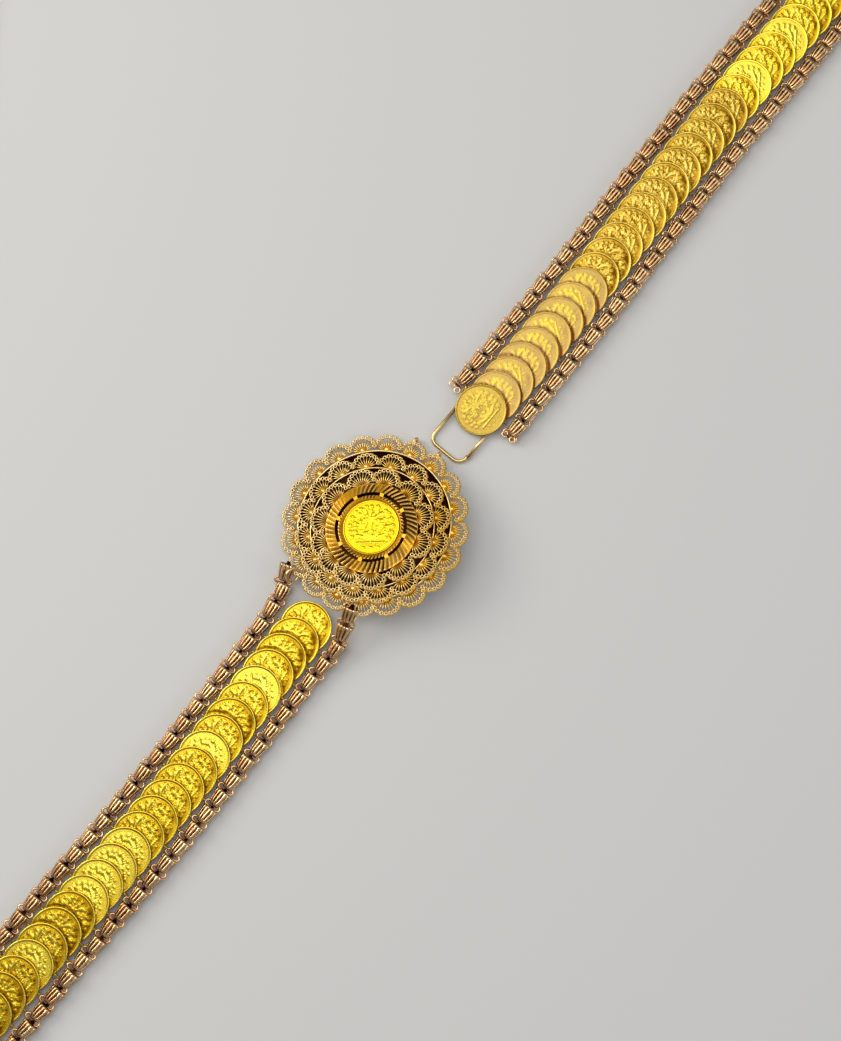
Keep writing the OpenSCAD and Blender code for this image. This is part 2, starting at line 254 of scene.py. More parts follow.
class Gold:
    """One finish of gold: its material and the nodes that make it up."""

    def __init__(self, name):
        self.material = bpy.data.materials.new(name)
        self.material.use_nodes = True
        self.tree = self.material.node_tree
        self.shader = self.tree.nodes["Principled BSDF"]

    def node(self, kind, settings, sockets):
        made = self.tree.nodes.new(kind)
        for key, value in settings.items():
            setattr(made, key, value)
        for key, value in sockets.items():
            self.feed(made.inputs[key], value)
        return made

    def number(self, kind, settings, sockets, output=0):
        return Sum(self, self.node(kind, settings, sockets).outputs[output])

    def noise(self, where, scale, detail):
        return self.number("ShaderNodeTexNoise", {}, {"Vector": where, "Scale": scale, "Detail": detail})

    def feed(self, socket, value):
        if isinstance(value, Sum):
            value = value.socket
        if isinstance(value, bpy.types.NodeSocket):
            self.tree.links.new(value, socket)
        else:
            socket.default_value = value

    def blend(self, amount, first, second):
        mixed = self.node("ShaderNodeMix", {"data_type": "RGBA"}, {0: amount, 6: first, 7: second})
        return mixed.outputs[2]

    def finish(
        self, shade_soil_colour, plain, worn_highlight_colour, roughness, grain_mm, grain_depth, cloud=0.25, fleck=0.0, fleck_mm=0.9,
        metal=1.0,
    ):
        """Gold whose colour runs from soil and painted shade through plain gold to worn metal and painted
        highlight, as its mesh says, in clouds and small flecks.
        """
        where = self.node("ShaderNodeTexCoord", {}, {}).outputs["Object"]
        shade_and_soil = self.number("ShaderNodeAttribute", {"attribute_name": "shade_and_soil"}, {}, "Fac")
        clouds = self.noise(where, CLOUD_SCALE, SOFT_DETAIL)
        grain = self.noise(where, 1 / (grain_mm * MM), FINE_DETAIL)
        if fleck:
            flecks = self.noise(where, 1 / (fleck_mm * MM), SOFT_DETAIL)
            shade_and_soil = shade_and_soil + (flecks - NOISE_MIDDLE) * fleck
        highlight_wear_part = self.number(
            "ShaderNodeMath", {"operation": "ADD", "use_clamp": True},
            {0: 1 - shade_and_soil, 1: (clouds - NOISE_MIDDLE) * cloud},
        )
        # the colour runs from painted shade and soil, through plain gold, to worn gold and painted highlight
        darker_half = self.blend(highlight_wear_part * 2, (*shade_soil_colour, 1.0), (*plain, 1.0))
        self.feed(self.shader.inputs["Base Color"], self.blend(highlight_wear_part * 2 - 1, darker_half, (*worn_highlight_colour, 1.0)))
        rougher = (grain - NOISE_MIDDLE) * GRAIN_ROUGHNESS + (1 - highlight_wear_part) * SHADE_SOIL_ROUGHNESS
        self.feed(self.shader.inputs["Roughness"], rougher + roughness)
        self.shader.inputs["Metallic"].default_value = metal
        bump = self.node(
            "ShaderNodeBump", {}, {"Height": grain, "Strength": grain_depth, "Distance": grain_mm * MM}
        )
        self.feed(self.shader.inputs["Normal"], bump.outputs["Normal"])
        return self.material


def row_tree(name, mode):
    """Geometry nodes that set copies of a unit along a path, each facing along it."""
    tree = bpy.data.node_groups.new(name, "GeometryNodeTree")
    for label, kind, low in (
        ("Path", "NodeSocketGeometry", None),
        ("Unit", "NodeSocketObject", None),
        ("Finish", "NodeSocketMaterial", None),
        ("Count", "NodeSocketInt", 1),
        ("Lean", "NodeSocketFloat", None),
        ("Wobble", "NodeSocketVector", None),
        ("Seed", "NodeSocketInt", 0),
    ):
        socket = tree.interface.new_socket(label, in_out="INPUT", socket_type=kind)
        if low is not None:
            socket.min_value = low
    tree.interface.new_socket("Row", in_out="OUTPUT", socket_type="NodeSocketGeometry")

    def node(kind, links=(), **settings):
        made = tree.nodes.new(kind)
        for key, value in settings.items():
            setattr(made, key, value)
        for key, value in links:
            if isinstance(value, bpy.types.NodeSocket):
                tree.links.new(value, made.inputs[key])
            else:
                made.inputs[key].default_value = value
        return made

    given = node("NodeGroupInput").outputs
    curve = node("GeometryNodeMeshToCurve", [("Mesh", given["Path"])])
    links = [("Curve", curve.outputs["Curve"])]
    links += [("Count", given["Count"])] if mode == "COUNT" else []
    spots = node("GeometryNodeCurveToPoints", links, mode=mode)
    # a copy is turned level along the path, then up or down with it, and then by its lean and by chance
    level = node(
        "FunctionNodeAlignRotationToVector", [("Vector", spots.outputs["Tangent"])], axis="X", pivot_axis="Z"
    )
    facing = node(
        "FunctionNodeAlignRotationToVector",
        [("Rotation", level.outputs["Rotation"]), ("Vector", spots.outputs["Tangent"])],
        axis="X",
        pivot_axis="AUTO",
    )
    least = node(
        "ShaderNodeVectorMath", [(0, given["Wobble"]), (1, (-1.0, -1.0, -1.0))], operation="MULTIPLY"
    )
    lean = node("ShaderNodeCombineXYZ", [("Y", given["Lean"])])
    chance = node(
        "FunctionNodeRandomValue",
        [(0, least.outputs[0]), (1, given["Wobble"]), ("Seed", given["Seed"])],
        data_type="FLOAT_VECTOR",
    )
    pose = node("ShaderNodeVectorMath", [(0, lean.outputs[0]), (1, chance.outputs[0])], operation="ADD")
    posed = node(
        "FunctionNodeRotateRotation",
        [("Rotation", facing.outputs["Rotation"]), ("Rotate By", pose.outputs[0])],
        rotation_space="LOCAL",
    )
    unit = node("GeometryNodeObjectInfo", [("Object", given["Unit"])], transform_space="ORIGINAL")
    copies = node(
        "GeometryNodeInstanceOnPoints",
        [
            ("Points", spots.outputs["Points"]),
            ("Instance", unit.outputs["Geometry"]),
            ("Rotation", posed.outputs["Rotation"]),
        ],
    )
    real = node("GeometryNodeRealizeInstances", [("Geometry", copies.outputs["Instances"])])
    finished = node(
        "GeometryNodeSetMaterial", [("Geometry", real.outputs["Geometry"]), ("Material", given["Finish"])]
    )
    node("NodeGroupOutput", [("Row", finished.outputs["Geometry"])])
    return tree


def row(tree, name, path, closed=False, **inputs):
    """Makes one piece of a row of units along a path in millimetres."""
    made = bpy.data.objects.new(name, bpy.data.meshes.new(name))
    edges = [(i, i + 1) for i in range(len(path) - 1)] + ([(len(path) - 1, 0)] if closed else [])
    made.data.from_pydata([Vector(p) * MM for p in path], edges, [])
    bpy.context.scene.collection.objects.link(made)
    layout = made.modifiers.new("row", "NODES")
    layout.node_group = tree
    for socket in tree.interface.items_tree:
        if socket.in_out == "INPUT" and socket.name in inputs:
            layout[socket.identifier] = inputs[socket.name]
    seen = made.evaluated_get(bpy.context.evaluated_depsgraph_get())
    mesh = bpy.data.meshes.new_from_object(seen)
    made.modifiers.clear()
    made.data = mesh
    return made


# the strap's middle line on each side of the buckle: its start, its drift, from where, over what length
STRAP_LEFT = (-5.2, -4.5, 30, 125)
STRAP_RIGHT = (-2.3, 6.2, 80, 170)


def strap_middle(x):
    """How far the strap's middle line lies to the side of the buckle's, at a place along the belt."""
    start, drift, first, length = STRAP_LEFT if x < 0 else STRAP_RIGHT
    t = min(max((abs(x) - first) / length, 0.0), 1.0)
    return start + drift * t * t * (3 - 2 * t)


CHAIN_PITCH = 7.9
CHAIN_HEIGHT = 3.0
CHAIN_HALF_SPREAD = 14.35
CHAIN_WOBBLE = (0.2, 0.05, 0.05)
LEFT_STATIONS = (-62, -75, -95, -120, -150, -200)
RIGHT_STATIONS = (80, 105, 130, 170, 210, 250)
# each half of a chain, in millimetres from the buckle's middle: its first points, its stations along the
# coins, the side of the coins that it lies on, and its plain way round outside the picture
CHAIN_ROUTES = {
    "inner_chain_buckle_half": (
        [(-39.7, 13.1, 4.4), (-43.5, 11.4, 3.4), (-49, 9.3, 3)], LEFT_STATIONS, 1,
        [(-243, 4.75), (-249, 6.4), (-253.4, 10.8), (-255, 16.8), (-253.4, 22.8), (-250.4, 26.2),
         (-240, 34.2), (40, 250.5), (61.4, 267), (70, 270), (80.2, 265.6), (92, 253.1)],
    ),
    "outer_chain_buckle_half": (
        [(-36.6, -17, 10.3), (-42.5, -19.1, 7), (-49, -20.3, 4.3), (-57, -20.5, 3.1)], LEFT_STATIONS, -1,
        [(-243, -24.6), (-253, -21.9), (-260.3, -14.6), (-263, -4.6), (-263, 16.8), (-261.2, 25),
         (-255.3, 32.5), (-245, 40.5), (35, 256.8), (56.5, 273.4), (70, 278), (86, 271.1), (98, 258.5)],
    ),
    "inner_chain_clasp_half": (
        [(65.4, 12.0, 3)], RIGHT_STATIONS, 1,
        [(285, 18.2), (294, 22.4), (297, 31.2), (293.7, 39.9), (284, 50.2), (92.2, 252.9)],
    ),
    "outer_chain_clasp_half": (
        [(62.4, -16.8, 3)], RIGHT_STATIONS, -1,
        [(285, -10.4), (295.2, -7.5), (302.3, 0.4), (305, 10.3), (305, 31.6), (304, 38), (299.5, 45.4),
         (290, 55.5), (98.2, 258.3)],
    ),
}
# a basket's petals, five narrow ones on top and three broad ones below: degrees round it, half of its angle
PETALS = [(28 + 31 * k, 15.6) for k in range(5)] + [(216 + 54 * k, 27) for k in range(3)]
# a petal, from the closed end to the rim: along the chain, out from its middle, share of its width, tone,
# which is painted shade at the closed end and a painted highlight at the rim
PETAL = (
    (0.2, 1.25, 0.95, 0.6), (0.9, 2.05, 0.95, 1.0), (2.2, 2.45, 0.62, 0.95), (4.9, 2.75, 0.52, 0.95),
    (6.2, 2.88, 0.92, 1.05), (7.0, 2.95, 1.0, 1.1),
)
PETAL_THICK = 0.45
PETAL_GROOVE = 0.12
GROOVE_SHADE = 0.7                   # share of a petal's tone in its middle groove: painted shade
BASKET_WIDEN = 1.12                 # a basket lies a little flat
# the neck of the next basket, from its knot inside this one: along the chain, out from its middle, and tone,
# which is painted shade, as the neck lies inside the baskets
NECK = ((1.6, 1.1, 0.2), (5.4, 1.7, 0.2), (6.6, 1.1, 0.0), (8.15, 0.6, 0.0))
NECK_SIDES = 6
# one half of the link, which is bent to lie against the baskets: along the chain, out to the side
LINK = ((1.2, 0.5), (1.2, 2.6), (0.85, 3.1), (0.2, 3.3), (-0.4, 3.1), (-0.75, 2.6), (-0.75, 0.9))
LINK_WIRE = 0.45
LINK_SIDES = 5
EAR = 2.4                           # where the part of the link that shows begins, out from its middle
EAR_TONE = 0.75
# the middle of the link, under the baskets, gets painted shade
BEHIND_PAINTED_SHADE = 0.1

chain_unit = Work()
for centre, broad in PETALS:
    rings = []
    tones = []
    for along, out, share, tone in PETAL:
        half = broad * share
        section = (
            (centre - half, out), (centre, out - PETAL_GROOVE), (centre + half, out),
            (centre, out - PETAL_THICK),
        )
        rings.append([
            (along, BASKET_WIDEN * away * math.cos(math.radians(turn)), away * math.sin(math.radians(turn)))
            for turn, away in section
        ])
        # the middle groove gets painted shade, and the petal's inner face full painted shade
        tones.append((tone, GROOVE_SHADE * tone, tone, 0.0))
    chain_unit.loft(rings, tones)
neck_turns = [math.tau * k / NECK_SIDES for k in range(NECK_SIDES)]
chain_unit.loft(
    [
        [(along, out * math.cos(turn), out * math.sin(turn)) for turn in neck_turns]
        for along, out, tone in NECK
    ],
    [[tone] * NECK_SIDES for along, out, tone in NECK],
)
link_path = [(x, y, 0) for x, y in LINK] + [(x, -y, 0) for x, y in reversed(LINK)]
link_tones = []
for x, y, z in link_path:
    link_tones += [EAR_TONE if abs(y) > EAR else BEHIND_PAINTED_SHADE] * LINK_SIDES
chain_unit.wire(link_path, LINK_WIRE, LINK_SIDES, closed=True, tone=link_tones)
chain_basket = chain_unit.unit("chain_basket")

rose_gold = Gold("rose_gold").finish(
    shade_soil_colour=(0.03, 0.004, 0.001), plain=(0.74, 0.29, 0.09), worn_highlight_colour=(1.0, 0.72, 0.37), roughness=0.2,
    grain_mm=0.5, grain_depth=0.15, cloud=0.5
)
path_rows = row_tree("row_along_path", "COUNT")
for chain_name, (near, stations, side, hidden) in CHAIN_ROUTES.items():
    route = [Vector(p) for p in near]
    route += [Vector((x, strap_middle(x) + side * CHAIN_HALF_SPREAD, CHAIN_HEIGHT)) for x in stations]
    route += [Vector((x, y, CHAIN_HEIGHT)) for x, y in hidden]
    # the baskets open towards the buckle on its side, and away from the clasp on the other
    if chain_name.endswith("buckle_half"):
        route.reverse()
    length = sum((b - a).length for a, b in zip(route, route[1:]))
    chain = row(
        path_rows, chain_name + "_links", [p + BELT for p in route],
        Unit=chain_basket, Finish=rose_gold, Count=round(length / CHAIN_PITCH), Lean=0.0, Wobble=CHAIN_WOBBLE,
        Seed=len(chain_name),
    )
    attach(chain, "root")
    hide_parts(chain_name)

# Jump rings: two rings of round wire that join the side chains to the buckle's edge, each closed by hand.
# They keep the shape that they have in the frame, in the chains' reddish gold.
for ring_name in ("jump_ring_inner", "jump_ring_outer"):
    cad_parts[ring_name].data.materials.clear()
    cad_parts[ring_name].data.materials.append(rose_gold)

# End rings: two small open loops of fine wire at the cut end of each side chain.
# They are of the chains' reddish gold, and soldered to the first basket.
END_RINGS = {
    "end_rings_inner": ((63.8, 14.1), (63.0, 10.9)),
    "end_rings_outer": ((61.7, -14.9), (61.8, -18.6)),
}
END_RING = 1.15
END_RING_STEPS = 12
END_WIRE = 0.36
END_WIRE_SIDES = 6


def circle(radius, steps, x=0.0, y=0.0, height=0.0):
    """Points round a circle that lies flat."""
    turns = [math.tau * k / steps for k in range(steps)]
    return [(x + radius * math.cos(turn), y + radius * math.sin(turn), height) for turn in turns]


for ring_name, spots in END_RINGS.items():
    loops = Work()
    for x, y in spots:
        loop = circle(END_RING, END_RING_STEPS, x, y, CHAIN_HEIGHT)
        loops.wire(loop, END_WIRE, END_WIRE_SIDES, closed=True)
    loops.points = [p + BELT for p in loops.points]
    loops_piece = loops.piece(ring_name + "_loops")
    loops_piece.data.materials.append(rose_gold)
    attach(loops_piece, "root")
    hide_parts(ring_name)

# Strap coins: struck in yellow gold with a raised rim and a flower over a ground line, and worn by use.
# Their colour also holds painted shade, painted shadows and painted highlights.
# Each laps over the next, and has a short lug soldered on at either side, which meets the side chain.
COIN_RADIUS = 10.2
COIN_THICK = 1.0
COIN_RIM = 0.6
COIN_HEIGHT = 3.2
COIN_CLEAR = 0.13                   # between two coins that lap
COIN_LEAN = -math.asin((COIN_THICK + COIN_CLEAR) / CHAIN_PITCH)
COIN_WOBBLE = (0.015, 0.006, 0.1)
COIN_RINGS = 27
SECTORS = 8
LUG_PLACE = -4.5
LUG_REACH = (8.6, 11.05)
LUG_WIRE = 0.4
LUG_SIDES = 8
LUG_TONE = 0.5
# how a coin looks: the turn of its flowers in degrees, their share of the field, their depth, the tones of
# field and rim, partly wear and partly painted light that makes some coins look lit and others shaded, how
# much darker the flowers' feet are, the painted shadow beside the coin on top, and the painted shade inside
# the coin's own rim
COIN_LOOKS = {
    "plain": (0, 0.95, 0.28, 0.57, 1.05, 0.65, 0.55, 0.7),
    "olive": (20, 0.95, 0.28, 0.57, 0.95, 0.65, 0.6, 0.5),
    "olive_dark": (-50, 0.95, 0.28, 0.53, 1.0, 0.6, 0.8, 0.9),
    "bright": (40, 0.86, 0.26, 0.78, 1.2, 0.6, 0.4, 0.1),
    "dark": (-70, 0.95, 0.28, 0.5, 1.0, 0.55, 1.1, 1.1),
    "satin": (0, 0.85, 0.18, 0.56, 0.66, 0.15, 0.95, 0.1),
    "satin_turned": (50, 0.85, 0.18, 0.6, 0.7, 0.15, 0.9, 0.2),
    "end": (0, 0.88, 0.2, 0.56, 0.66, 0.12, 0.0, 0.0),
    "centre": (0, 0.95, 0.28, 0.6, 1.0, 0.55, 0.0, 0.0),
}
# each strand's first coin, the step to the next, and which of its coins take which look
COIN_STRANDS = (
    ("coins_near_buckle", -47.4, -CHAIN_PITCH, {
        "plain": (0, 3, 5, 7, 9, 10, 11, 12, 13, 20, 22, 24), "bright": (4, 8, 14, 15, 16, 17, 21),
        "dark": (1, 2, 6, 18, 19, 23),
    }),
    ("coins_near_clasp", 70.8, CHAIN_PITCH, {
        "satin": (0, 2, 3, 5, 7), "satin_turned": (1, 4, 6), "olive_dark": (8, 9, 14, 16, 18),
        "olive": (10, 11, 12, 13, 15, 17, 19), "bright": (21, 24), "plain": (20, 22, 23, 25, 26, 27),
    }),
)
# the flowers are drawn on a field that reaches from -1 to 1
# blossoms: place across and up, reach, number of petals
BLOSSOMS = [(0.0, 0.40, 0.26, 7), (-0.36, 0.12, 0.22, 6), (0.38, 0.14, 0.22, 6)]
PETAL_LEAST = 0.35                  # height between two petals, as a share of a petal's own
BLOSSOM_CUP = (0.45, 0.75)          # height of a petal where it starts, and how much it gains outwards
BUTTON_STEEP = 9
# rings of small blossoms that fill the rest of the field: out from its middle, number, reach
FILLING = ((0.84, 21, 0.11), (0.66, 15, 0.12), (0.34, 8, 0.12))
FILLING_PETALS = 5
FILLING_TURN = 0.25
FILLING_SIZE = (0.8, 1.2)
FILLING_SEED = 5
FILLING_GAP = 0.1
# leaves: foot across and up, turn from upright in degrees, length, width
LEAVES = (
    (0.0, 0.06, 0, 0.24, 0.13), (0.0, -0.52, 38, 0.42, 0.12), (0.0, -0.52, -38, 0.42, 0.12),
    (-0.08, -0.50, 68, 0.55, 0.14), (0.08, -0.50, -68, 0.55, 0.14), (-0.20, 0.42, 62, 0.34, 0.12),
    (0.20, 0.42, -62, 0.34, 0.12), (-0.16, 0.58, 35, 0.26, 0.11), (0.16, 0.58, -35, 0.26, 0.11),
    (-0.55, 0.02, 100, 0.22, 0.10), (0.55, 0.02, -100, 0.22, 0.10), (0.0, -0.10, 140, 0.16, 0.09),
    (0.0, -0.10, -140, 0.16, 0.09), (-0.36, 0.47, 75, 0.30, 0.1), (0.36, 0.47, -75, 0.30, 0.1),
)
LEAF_TAPER = 0.7
LEAF_LEAST = 0.012
LEAF_RISE = 0.85
VEIN_DEPTH = 0.3
VEIN_HALF = 0.02
GROUND = -0.62
LINE_HALF = 0.035                   # half the width of the stem and of the ground line
STEM_TOP, STEM_RISE = 0.2, 0.6
GROUND_REACH, GROUND_RISE = 0.6, 0.8
# tufts below the ground line: lowest place, gap to the line, reach, height, waves across, shift, waves up
TUFTS = (-0.86, 0.08, 0.42, 0.6, 22, 1.6, 24)

scatter = random.Random(FILLING_SEED)
for out, number, reach in FILLING:
    for k in range(number):
        turn = math.tau * (k + scatter.uniform(-FILLING_TURN, FILLING_TURN)) / number
        across, up = out * math.cos(turn), out * math.sin(turn)
        if up > GROUND + FILLING_GAP:
            BLOSSOMS.append((across, up, reach * scatter.uniform(*FILLING_SIZE), FILLING_PETALS))


def spray_height(u, v):
    """Height of the flowers at a place on the coin's field, from 0 to 1."""
    best = 0.0
    for across, up, reach, petals in BLOSSOMS:
        away = math.hypot(u - across, v - up) / reach
        if away < 1:
            lobe = 0.5 + 0.5 * math.cos(petals * math.atan2(v - up, u - across))
            petal = PETAL_LEAST + (1 - PETAL_LEAST) * lobe
            cup = (1 - away ** 3) * petal * (BLOSSOM_CUP[0] + BLOSSOM_CUP[1] * away)
            best = max(best, cup, 1.0 - BUTTON_STEEP * away * away)
    for across, up, turn, length, width in LEAVES:
        angle = math.radians(turn)
        along = -math.sin(angle) * (u - across) + math.cos(angle) * (v - up)
        aside = math.cos(angle) * (u - across) + math.sin(angle) * (v - up)
        if 0 < along < length:
            half = width * math.sin(math.pi * along / length) ** LEAF_TAPER / 2 + LEAF_LEAST
            edge = 1 - (aside / half) ** 2
            if edge > 0:
                vein = VEIN_DEPTH * math.exp(-((aside / VEIN_HALF) ** 2))
                best = max(best, LEAF_RISE * math.sqrt(edge) - vein)
    if abs(u) < LINE_HALF and GROUND < v < STEM_TOP:
        best = max(best, STEM_RISE)
    if abs(v - GROUND) < LINE_HALF and abs(u) < GROUND_REACH:
        best = max(best, GROUND_RISE)
    lowest, gap, reach, rise, waves_across, shift, waves_up = TUFTS
    if lowest < v < GROUND - gap and abs(u) < reach:
        wave = math.sin(waves_across * u + shift) * math.sin(waves_up * (v - GROUND))
        best = max(best, rise * max(0.0, wave))
    return best


RIM_FOOT = 0.1                      # how far past the field the rim begins
EDGE_TONE = 0.6
EDGE_ROUND = 0.1
# the coin's side wall gets painted shade
SIDE_TONE = 0.3
RELIEF_TONE = 0.47                  # how much lighter a flower's top is than the field: wear, and painted shade in the low field
OUTLINE = (0.02, 0.3)               # heights between which each flower's foot is drawn darker
# a darker band against the rim: how wide, how uneven, how many waves round the coin, their shift
RIM_BAND = 0.25
RIM_WAVES = (0.6, 3, 1)
# painted shade inside the rim on one side: its place round the coin and outwards, half its width, its waves
SHADED_SIDE = math.radians(-50.0)
SHADED_PLACE = 0.8
SHADED_HALF = 0.16
SHADED_WAVES = (0.3, 7, 0)
# painted shadow beside the coin on top: how much, its change across, how far from that coin, half its width
COVER_SHADOW = 0.75
COVER_CHANGE = 0.35
COVER_PLACE = 0.45
COVER_HALF = 0.95


def uneven(angle, part, waves, shift):
    """A share of 1 at most, which falls and rises in waves round a coin by a part to either side."""
    return 1 - part + part * math.sin(waves * angle + shift)


def points_inside(ring):
    """The number of a coin's points that lie inside one of its rings."""
    return 1 + SECTORS * ring * (ring - 1) // 2 if ring else 0


def strike(work, radius, thick, rim, rings, look):
    """Strikes a coin, its underside at height 0, in rings of points, each with SECTORS more than the last."""
    # the field and rim tones hold painted light as well as wear
    turn, spread, relief, field_tone, rim_tone, outlined, cover_shadow, shaded = COIN_LOOKS[look]
    turn = math.radians(turn)
    points = []
    tones = []
    field = radius - rim
    for ring in range(rings + 1):
        reach = radius * ring / rings
        count = max(1, SECTORS * ring)
        for k in range(count):
            angle = math.tau * k / count
            x, y = reach * math.cos(angle), reach * math.sin(angle)
            if reach > field + RIM_FOOT:
                rise, tone = 1.0, (EDGE_TONE if ring == rings else rim_tone)
            else:
                share = reach / (spread * field)
                rise = spray_height(share * math.cos(angle - turn), share * math.sin(angle - turn))
                # the low field gets painted shade, and the flowers' high points are worn bright
                tone = field_tone + RELIEF_TONE * rise - outlined * (OUTLINE[0] < rise < OUTLINE[1])
                if reach > field - RIM_BAND:
                    tone = EDGE_TONE - outlined * uneven(angle, *RIM_WAVES)
                # painted shade inside the rim on one side of the coin
                facing = max(0.0, math.cos(angle - SHADED_SIDE))
                inside = max(0.0, 1 - abs(reach / radius - SHADED_PLACE) / SHADED_HALF)
                tone -= shaded * facing ** 2 * inside * uneven(angle, *SHADED_WAVES)
            # painted shadow cast by the coin that laps over this one
            beyond = math.hypot(x + CHAIN_PITCH, y) - radius
            beside = max(0.0, 1 - abs(beyond - COVER_PLACE) / COVER_HALF)
            tone -= cover_shadow * (COVER_SHADOW - COVER_CHANGE * y / radius) * beside
            points.append((x, y, thick - relief * (1 - rise) - (EDGE_ROUND if ring == rings else 0.0)))
            tones.append(max(0.0, tone))
    faces = []
    for ring in range(rings):
        inner_first, outer_first = points_inside(ring), points_inside(ring + 1)
        inner_count, outer_count = max(1, SECTORS * ring), SECTORS * (ring + 1)
        for part in range(SECTORS):
            for k in range(ring + 1):
                outer = outer_first + part * (ring + 1) + k
                after = outer_first + (part * (ring + 1) + k + 1) % outer_count
                inner = inner_first + (part * ring + k) % inner_count
                faces.append((inner, outer, after))
                if k < ring:
                    faces.append((inner, after, inner_first + (part * ring + k + 1) % inner_count))
    count = SECTORS * rings
    top = points_inside(rings)
    for height, shrink in ((thick * 0.5, 0.0), (0.0, EDGE_ROUND)):
        first = len(points)
        points += circle(radius - shrink, count, height=height)
        # painted shade on the side wall
        tones += [SIDE_TONE] * count
        faces += [(top + k, first + k, first + (k + 1) % count, top + (k + 1) % count) for k in range(count)]
        top = first
    faces.append(tuple(top + k for k in reversed(range(count))))
    work.add(points, faces, tones)


def join(pieces):
    """Makes one object of several, under the first one's name."""
    with bpy.context.temp_override(
        active_object=pieces[0], selected_editable_objects=pieces, selected_objects=pieces
    ):
        bpy.ops.object.join()
    return pieces[0]


coin_gold = Gold("coin_gold").finish(
    shade_soil_colour=(0.20, 0.08, 0.001), plain=(0.77, 0.48, 0.018), worn_highlight_colour=(0.97, 0.79, 0.10), roughness=0.22,
    grain_mm=0.45, grain_depth=0.12, cloud=0.35, fleck=0.4, fleck_mm=0.4
)
satin_gold = Gold("satin_gold").finish(
    shade_soil_colour=(0.20, 0.05, 0.003), plain=(0.51, 0.325, 0.105), worn_highlight_colour=(0.84, 0.60, 0.05), roughness=0.32,
    grain_mm=0.4, grain_depth=0.3, cloud=0.3, fleck=0.4, fleck_mm=0.5
)
olive_gold = Gold("olive_gold").finish(
    shade_soil_colour=(0.16, 0.06, 0.001), plain=(0.56, 0.335, 0.03), worn_highlight_colour=(0.78, 0.60, 0.14), roughness=0.26,
    grain_mm=0.45, grain_depth=0.2, cloud=0.4, fleck=0.6, fleck_mm=0.4
)
COIN_FINISHES = {
    "satin": satin_gold, "satin_turned": satin_gold, "olive": olive_gold, "olive_dark": olive_gold,
}
vertex_rows = row_tree("row_at_path_points", "EVALUATED")
for coins_name, start, step, looks_by_coin in COIN_STRANDS:
    rows = []
    for look, places in looks_by_coin.items():
        coin = Work()
        strike(coin, COIN_RADIUS, COIN_THICK, COIN_RIM, COIN_RINGS, look)
        for side in (-1, 1):
            lug = [(LUG_PLACE, side * reach, COIN_THICK / 2) for reach in LUG_REACH]
            coin.wire(lug, LUG_WIRE, LUG_SIDES, tone=LUG_TONE)
        # the row always runs towards the clasp end, so that every coin leans the same way
        xs = sorted(start + step * k for k in places)
        path = [Vector((x, strap_middle(x), COIN_HEIGHT)) + BELT for x in xs]
        rows.append(row(
            vertex_rows, coins_name + "_" + look, path,
            Unit=coin.unit(coins_name + "_" + look + "_coin"), Finish=COIN_FINISHES.get(look, coin_gold),
            Lean=COIN_LEAN, Wobble=COIN_WOBBLE, Seed=len(places),
        ))
    coins = join(rows)
    coins.name = coins_name + "_struck"
    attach(coins, "root")
    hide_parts(coins_name)

# Clasp end: the last coin, which lies on top of the row, with a loop of pale drawn wire soldered under it.
# The wire is bent to a rounded square, and its cut end lies against the leg at the lower corner.
LOOP_NEAR = 41.0
LOOP_MIDDLE = -1.2
LOOP_HALF = 8.05
LOOP_BEND = 3.8
LOOP_BEND_STEPS = 8
LOOP_WIRE = 0.75
LOOP_SIDES = 12
LOOP_LEG = 20.5
LOOP_LIFT = 1.4                     # how much higher the loop lies at the coin than at its far side
LOOP_RISE = math.asin(LOOP_LIFT / LOOP_LEG)
CUT_LAP = 0.9                       # how far the cut end runs on beside the leg that it is soldered to
CUT_ASIDE = 0.45
END_COIN = 62.9
END_ASIDE = -1.5                    # the end coin lies a little off the strap's middle line
END_COIN_RINGS = 44
END_LUG = (9.6, 10.55)
SOLDER = ((7.2, 6.1, 0.3), (8.15, 6.95, 0.3))
SOLDER_THICK = 0.7
SOLDER_TONE = 0.85

loop_path = [(LOOP_LEG, LOOP_HALF, 0)]
for corner in (1, -1):
    for k in range(LOOP_BEND_STEPS + 1):
        angle = math.pi / 2 * (k / LOOP_BEND_STEPS + (1 if corner > 0 else 2))
        y = corner * (LOOP_HALF - LOOP_BEND) + LOOP_BEND * math.sin(angle)
        loop_path.append((LOOP_BEND + LOOP_BEND * math.cos(angle), y, 0))
loop_path.append((LOOP_BEND + CUT_LAP, -LOOP_HALF, 0))
other_leg = [(LOOP_BEND, -LOOP_HALF - CUT_ASIDE, 0), (LOOP_LEG, -LOOP_HALF, 0)]
clasp = Work()
clasp.wire(loop_path, LOOP_WIRE, LOOP_SIDES)
clasp.wire(other_leg, LOOP_WIRE, LOOP_SIDES)
loop_faces = len(clasp.faces)
loop_place = Matrix.Translation((LOOP_NEAR, LOOP_MIDDLE, LOOP_WIRE)) @ Matrix.Rotation(-LOOP_RISE, 4, "Y")
clasp.points = [loop_place @ p for p in clasp.points]
end_coin = Work()
strike(end_coin, COIN_RADIUS, COIN_THICK, COIN_RIM, END_COIN_RINGS, "end")
for side in (-1, 1):
    end_coin.wire([(0, side * reach, COIN_THICK / 2) for reach in END_LUG], LUG_WIRE, LUG_SIDES)
end_coin.wire(SOLDER, SOLDER_THICK, LUG_SIDES, tone=SOLDER_TONE)
end_place = Matrix.Translation((END_COIN, END_ASIDE, COIN_HEIGHT)) @ Matrix.Rotation(COIN_LEAN, 4, "Y")
clasp.add([end_place @ p for p in end_coin.points], end_coin.faces, end_coin.tones)
clasp.points = [p + BELT for p in clasp.points]
clasp_piece = clasp.piece("clasp_coin_and_loop")
